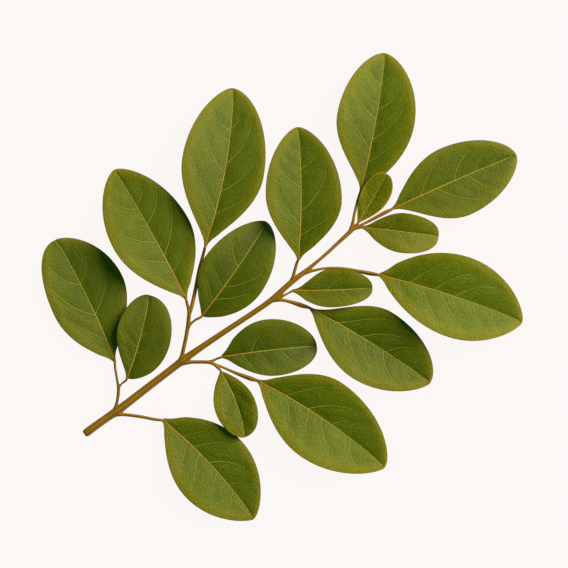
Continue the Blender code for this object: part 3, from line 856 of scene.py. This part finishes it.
def into_leaflet(each):
    """The last points of a stalk, in line with its leaflet and then inside its midrib."""
    heading = math.radians(each.heading)
    ahead = Vector((math.cos(heading), math.sin(heading)))
    sideways = Vector((-ahead.y, ahead.x))
    base_height, arch, tip_height = each.heights
    points = []
    for distance, radius, drop in STALK_ENDS:
        part = max(distance, 0.0) / each.length
        belly = 4 * part * (1 - part)
        spot = Vector(each.base) + ahead * distance + sideways * each.bow * belly
        height = base_height * (1 - part) + tip_height * part + arch * belly
        points.append((spot.x, spot.y, height - RIB_SINK - drop, radius))
    return points


routes = [RACHIS] + FORKS
routes += [stalk + into_leaflet(each) for stalk, each in zip(STALKS, LEAFLETS)]
print(sum(len(route) for route in routes), "points in", len(routes), "paths")

# %% Draw the paths as curves
route_curve = bpy.data.curves.new("stalk paths", "CURVE")
route_curve.dimensions = "3D"
for route in routes:
    spline = route_curve.splines.new("NURBS")
    spline.points.add(len(route) - 1)
    for point, (x, y, z, radius) in zip(spline.points, route):
        point.co = ((x - MIDDLE_X) * MM, (y - MIDDLE_Y) * MM, z * MM, 1)
        point.radius = radius
    spline.order_u = 3
    spline.use_endpoint_u = True
    spline.resolution_u = 8
print(len(route_curve.splines), "curves are drawn")

# %% [markdown]
# ### From paths to tubes
# The tree sweeps every path into a round tube of its own thickness. Each point of a tube
# keeps how far along the path it is and how far round, in sine and cosine, which the finish
# of the stalks needs.

# %% Sweep the paths
RING_SIDES = 24
STALK_STEP = 0.12

sketch, size = new_tree("moringa stalks", ["Step"])
inputs = {"Curve": size["Geometry"], "Length": size["Step"]}
path = sketch.add("GeometryNodeResampleCurve", inputs, mode="LENGTH")
run = Wire(sketch, sketch.add("GeometryNodeSplineParameter").socket.node.outputs["Length"])
path = store(path, "run_mm", run * (1 / MM))
path = store(path, "thick", sketch.add("GeometryNodeInputRadius"))
path = sketch.add("GeometryNodeSetCurveNormal", {"Curve": path}, mode="Z_UP")
ring = sketch.add("GeometryNodeCurvePrimitiveCircle", {"Resolution": RING_SIDES, "Radius": 1.0})
ring_x, ring_y, _ = sketch.split(sketch.add("GeometryNodeInputPosition"))
ring = store(ring, "turn_cos", ring_x)
ring = store(ring, "turn_sin", ring_y)
tubes = sketch.add("GeometryNodeCurveToMesh",
                   {"Curve": path, "Profile Curve": ring, "Scale": named("thick") * MM,
                    "Fill Caps": True})
end_tree(sketch, tubes)
stalk_tree = sketch.tree

paths_object = bpy.data.objects.new("stalk paths", route_curve)
bpy.context.scene.collection.objects.link(paths_object)
run_tree(paths_object, stalk_tree, {"Step": STALK_STEP * MM})
tubes_object = freeze(paths_object, "stalk tubes")
print("swept tubes:", len(tubes_object.data.polygons), "faces")

# %% [markdown]
# ### Skin of the stalks
# Close up, the stalk is brown with a lighter ridge along its middle and fine lengthwise
# streaks. A furrow on each side of that ridge is painted dark, as painted shade in the groove.
# Its edges are painted darker, as painted shade on its rounded sides. It is more golden
# towards the tip of the leaf, and where it was cut it shows pale pith in a ring that has dried
# nearly black. The streaks need to know how far along and how far round the stalk a point is,
# which the fused skin has to take over from the tubes. The grain, the gold and the cut read
# the object's own coordinates, so their places and sizes are in metres.

# %% Brown and gold of the stalks
STALK_BROWN = (0.275, 0.128, 0.006, 1)
STALK_GOLD = (0.372, 0.180, 0.009, 1)
# One dark brown serves both the streaks, which are the stalk's own colour, and the painted shade on
# its edges.
STALK_STREAK_AND_PAINTED_SHADE = (0.120, 0.068, 0.004, 1)
GOLD_FROM, GOLD_RAGGED = (-0.030, 0.012), 0.02
GOLD_SHARE, STREAK_SHARE, EDGE_PAINTED_SHADE_SHARE = 0.75, 0.6, 0.7
STREAK_SCALE, STREAK_STRETCH = 3.2, 0.12
STALK_GRAIN_SCALE, BLOTCH_SCALE = 2600.0, 260.0

stalk_skin, sketch, shader = new_finish("stalk skin")
side = attribute(sketch, "turn_cos")
run = attribute(sketch, "run_mm") * STREAK_STRETCH
turn = sketch.vector(side, attribute(sketch, "turn_sin"), run)
spot = sketch.add("ShaderNodeTexCoord", output="Object")
spot_x, spot_y, spot_z = sketch.split(spot)
streaks = sketch.noise(turn, STREAK_SCALE, 3.0, 0.6)
grain = sketch.noise(spot, STALK_GRAIN_SCALE, 2.0, 0.6)
blotches = sketch.noise(spot, BLOTCH_SCALE, 2.0, 0.5)
golden = sketch.ramp(spot_x + (blotches - 0.5) * GOLD_RAGGED, *GOLD_FROM)
colour = sketch.mix(golden * GOLD_SHARE, STALK_BROWN, STALK_GOLD)
colour = sketch.mix(sketch.ramp(streaks, 0.42, 0.66) * STREAK_SHARE, colour, STALK_STREAK_AND_PAINTED_SHADE)
# The edges are painted darker: painted shade on the rounded sides of the stalk.
colour = sketch.mix(sketch.ramp(abs(side), 0.76, 1.0) * EDGE_PAINTED_SHADE_SHARE, colour, STALK_STREAK_AND_PAINTED_SHADE)
tell("brown and gold of the stalks", sketch)

# %% Ridge and furrows
STALK_RIDGE = (0.335, 0.152, 0.010, 1)
# The furrow colour is painted shade in the groove beside the ridge.
FURROW_PAINTED_SHADE = (0.085, 0.052, 0.003, 1)
RIDGE_AT, RIDGE_WIDTH, RIDGE_RAGGED = -0.05, (0.05, 0.30), 0.14
FURROW_AT, FURROW_WIDTH, FURROW_PAINTED_SHADE_SHARE = 0.42, 0.20, 0.6

from_ridge = side - RIDGE_AT + (streaks - 0.5) * RIDGE_RAGGED
ridge = sketch.ramp(abs(from_ridge), *RIDGE_WIDTH, 1.0, 0.0)
furrow_and_painted_shade = sketch.ramp(abs(abs(from_ridge) - FURROW_AT), 0.0, FURROW_WIDTH, 1.0, 0.0)
furrow_and_painted_shade = furrow_and_painted_shade * sketch.ramp(from_ridge, -0.3, 0.3, 0.5, 1.0)
furrow_and_painted_shade = furrow_and_painted_shade * sketch.ramp(attribute(sketch, "thick"), 0.24, 0.50, 0.35, 1.0)
colour = sketch.mix(ridge * sketch.ramp(blotches, 0.35, 0.6, 0.3, 0.7), colour, STALK_RIDGE)
# Each furrow is painted dark: painted shade in the groove beside the ridge.
colour = sketch.mix(furrow_and_painted_shade * FURROW_PAINTED_SHADE_SHARE, colour, FURROW_PAINTED_SHADE)
tell("stalk skin with its ridge", sketch)

# %% The cut, and the gloss
CUT_DARK = (0.040, 0.022, 0.003, 1)
CUT_PITH = (0.270, 0.190, 0.060, 1)
CUT_AT = (-0.04622, -0.04602)
PITH_Y, PITH_Z = 0.00145, 0.00062
PITH_RADII, PITH_RAGGED = (0.0003, 0.0005), 0.0003
STALK_ROUGH = (0.5, 0.68)
STALK_RELIEF_MM = 0.06

cut = sketch.ramp(spot_x, *CUT_AT, 1.0, 0.0)
from_middle = sketch.vector(spot_y - PITH_Y, spot_z - PITH_Z, 0.0)
from_middle = sketch.add("ShaderNodeVectorMath", {0: from_middle}, output="Value",
                         operation="LENGTH")
in_ring = sketch.ramp(from_middle + (blotches - 0.5) * PITH_RAGGED, *PITH_RADII)
colour = sketch.mix(cut, colour, sketch.mix(in_ring, CUT_PITH, CUT_DARK))
speckle = 0.6 + 0.5 * grain + 0.35 * blotches
paint(sketch, shader, colour, speckle, sketch.ramp(grain, 0.3, 0.7, *STALK_ROUGH), DULL_GLOSS)
relief = grain * 0.3 + streaks + ridge * 0.6 - furrow_and_painted_shade * 1.2
bump(sketch, shader, relief, STALK_RELIEF_MM, 0.8)
tell(stalk_skin.name, sketch)

# %% [markdown]
# ### One skin for all stalks
# Tubes that just cross have hard seams, and a fork of the real leaf has a soft crotch. A
# voxel remesh fuses the tubes into one skin, and a light smoothing softens the forks. The
# tree then brings the stored values over from the tubes and keeps the skin off the floor.

# %% Fuse the tubes
FLOOR_GAP = 0.01
VOXEL = 0.08
SOFTEN_BY, SOFTEN_TIMES = 0.5, 3

sketch, size = new_tree("moringa stalk skin", ["Floor"])
tree = sketch.tree
tree.interface.new_socket(name="Tubes", in_out="INPUT", socket_type="NodeSocketObject")
tubes_socket = [s for s in tree.nodes["Group Input"].outputs if s.name == "Tubes"][0]
source = sketch.add("GeometryNodeObjectInfo", {"Object": Wire(sketch, tubes_socket)},
                    output="Geometry")
skin_mesh = size["Geometry"]
for label in ("run_mm", "turn_cos", "turn_sin", "thick"):
    near = sketch.add("GeometryNodeSampleNearestSurface", {"Mesh": source, "Value": named(label)},
                      data_type="FLOAT")
    skin_mesh = store(skin_mesh, label, near)
spot_x, spot_y, spot_z = sketch.split(sketch.add("GeometryNodeInputPosition"))
level = sketch.vector(spot_x, spot_y, sketch.math("MAXIMUM", spot_z, size["Floor"]))
skin_mesh = sketch.add("GeometryNodeSetPosition", {"Geometry": skin_mesh, "Position": level})
skin_mesh = sketch.add("GeometryNodeSetShadeSmooth", {"Geometry": skin_mesh, "Shade Smooth": True})
end_tree(sketch, skin_mesh, stalk_skin)

fused = bpy.data.objects.new("fused stalks", tubes_object.data.copy())
bpy.context.scene.collection.objects.link(fused)
remesh = fused.modifiers.new("fuse", "REMESH")
remesh.mode = "VOXEL"
remesh.voxel_size = VOXEL * MM
soften = fused.modifiers.new("soften", "SMOOTH")
soften.factor = SOFTEN_BY
soften.iterations = SOFTEN_TIMES
run_tree(fused, tree, {"Floor": FLOOR_GAP * MM, "Tubes": tubes_object})
rachis = freeze(fused, "rachis_skin")
bpy.data.objects.remove(tubes_object)
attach(rachis, "root")
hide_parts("rachis")
print("rachis triangles:", 2 * len(rachis.data.polygons))

# %% [markdown]
# ## Floor, light and camera
# The leaf lies on a plain pale floor that shows hardly any shadow in the photograph. So the
# floor gives off most of its own brightness, and only a small part of it answers to the
# light.

# %% Floor
FLOOR_SIZE = 3.0
FLOOR_COLOUR = (0.980, 0.940, 0.922, 1)
FLOOR_LIT, FLOOR_GLOW = 0.02, 0.99

half = FLOOR_SIZE / 2
floor_mesh = bpy.data.meshes.new("pale floor")
corners = [(-half, -half, 0), (half, -half, 0), (half, half, 0), (-half, half, 0)]
floor_mesh.from_pydata(corners, [], [(0, 1, 2, 3)])
floor = bpy.data.objects.new("pale floor", floor_mesh)
bpy.context.scene.collection.objects.link(floor)
floor_paint = bpy.data.materials.new("pale floor")
floor_paint.use_nodes = True
sketch = Sketch(floor_paint.node_tree)
floor_paint.node_tree.nodes.remove(floor_paint.node_tree.nodes["Principled BSDF"])
matte = sketch.add("ShaderNodeBsdfDiffuse", {"Color": FLOOR_COLOUR})
glow = sketch.add("ShaderNodeEmission", {"Color": FLOOR_COLOUR, "Strength": FLOOR_GLOW})
blend = sketch.add("ShaderNodeMixShader", {0: FLOOR_LIT, 1: glow, 2: matte})
sketch.feed(floor_paint.node_tree.nodes["Material Output"].inputs["Surface"], blend)
floor_mesh.materials.append(floor_paint)
print("floor:", FLOOR_SIZE, "m wide")

# %% [markdown]
# The light comes at a slant from the upper right of the picture, so one half of each leaflet
# is lit and the other is in soft shade. A wide sun does that best, because its shadows have
# soft edges and it is equally strong all over the leaf. The dim light from all round is
# tinted green, which keeps the shaded halves as rich as in the photograph, while what the
# camera sees beyond the floor stays pale.

# %% Light
LIGHT_AZIMUTH, LIGHT_ELEVATION = -3, 37
LIGHT_POWER = 5.4
LIGHT_SPREAD = 40
LIGHT_COLOUR = (1.0, 0.87, 0.74)
FILL_COLOUR = (0.01, 0.155, 0.015, 1)
BACKDROP_COLOUR = (0.94, 0.94, 0.94, 1)

azimuth, elevation = math.radians(LIGHT_AZIMUTH), math.radians(LIGHT_ELEVATION)
toward = Vector((math.cos(azimuth) * math.cos(elevation),
                 math.sin(azimuth) * math.cos(elevation), math.sin(elevation)))
key = bpy.data.lights.new("window light", "SUN")
key.energy = LIGHT_POWER
key.angle = math.radians(LIGHT_SPREAD)
key.color = LIGHT_COLOUR
key_object = bpy.data.objects.new("window light", key)
key_object.rotation_euler = toward.to_track_quat("Z", "Y").to_euler()
bpy.context.scene.collection.objects.link(key_object)

world = bpy.data.worlds.new("studio")
world.use_nodes = True
bpy.context.scene.world = world
sketch = Sketch(world.node_tree)
backdrop = world.node_tree.nodes["Background"]
seen = sketch.add("ShaderNodeLightPath", output="Is Camera Ray")
sketch.feed(backdrop.inputs["Color"], sketch.mix(seen, FILL_COLOUR, BACKDROP_COLOUR))
bpy.context.scene.view_settings.view_transform = "Standard"
print("light from", LIGHT_ELEVATION, "degrees above the floor")

# %% [markdown]
# The photograph is taken from straight above, from so far away that the leaf shows no
# perspective. A very long lens does the same. The camera is turned, so that the leaf lies
# across the picture from its lower left to its upper right.

# %% Camera
LENS, SENSOR = 600, 36
PICTURE_WIDTH = 0.10224
CAMERA_X, CAMERA_Y = -0.0013, 0.00137
CAMERA_TURN = -37
VIEW_HEIGHT = 0.0025
SEES_UP_TO = 20

lens = bpy.data.cameras.new("camera from above")
lens.lens = LENS
lens.sensor_width = SENSOR
lens.clip_end = SEES_UP_TO
camera = bpy.data.objects.new("camera from above", lens)
camera.location = (CAMERA_X, CAMERA_Y, VIEW_HEIGHT + PICTURE_WIDTH * LENS / SENSOR)
camera.rotation_euler = (0, 0, math.radians(CAMERA_TURN))
bpy.context.scene.collection.objects.link(camera)
bpy.context.scene.camera = camera
print("the camera is", round(camera.location.z, 2), "m above the floor")
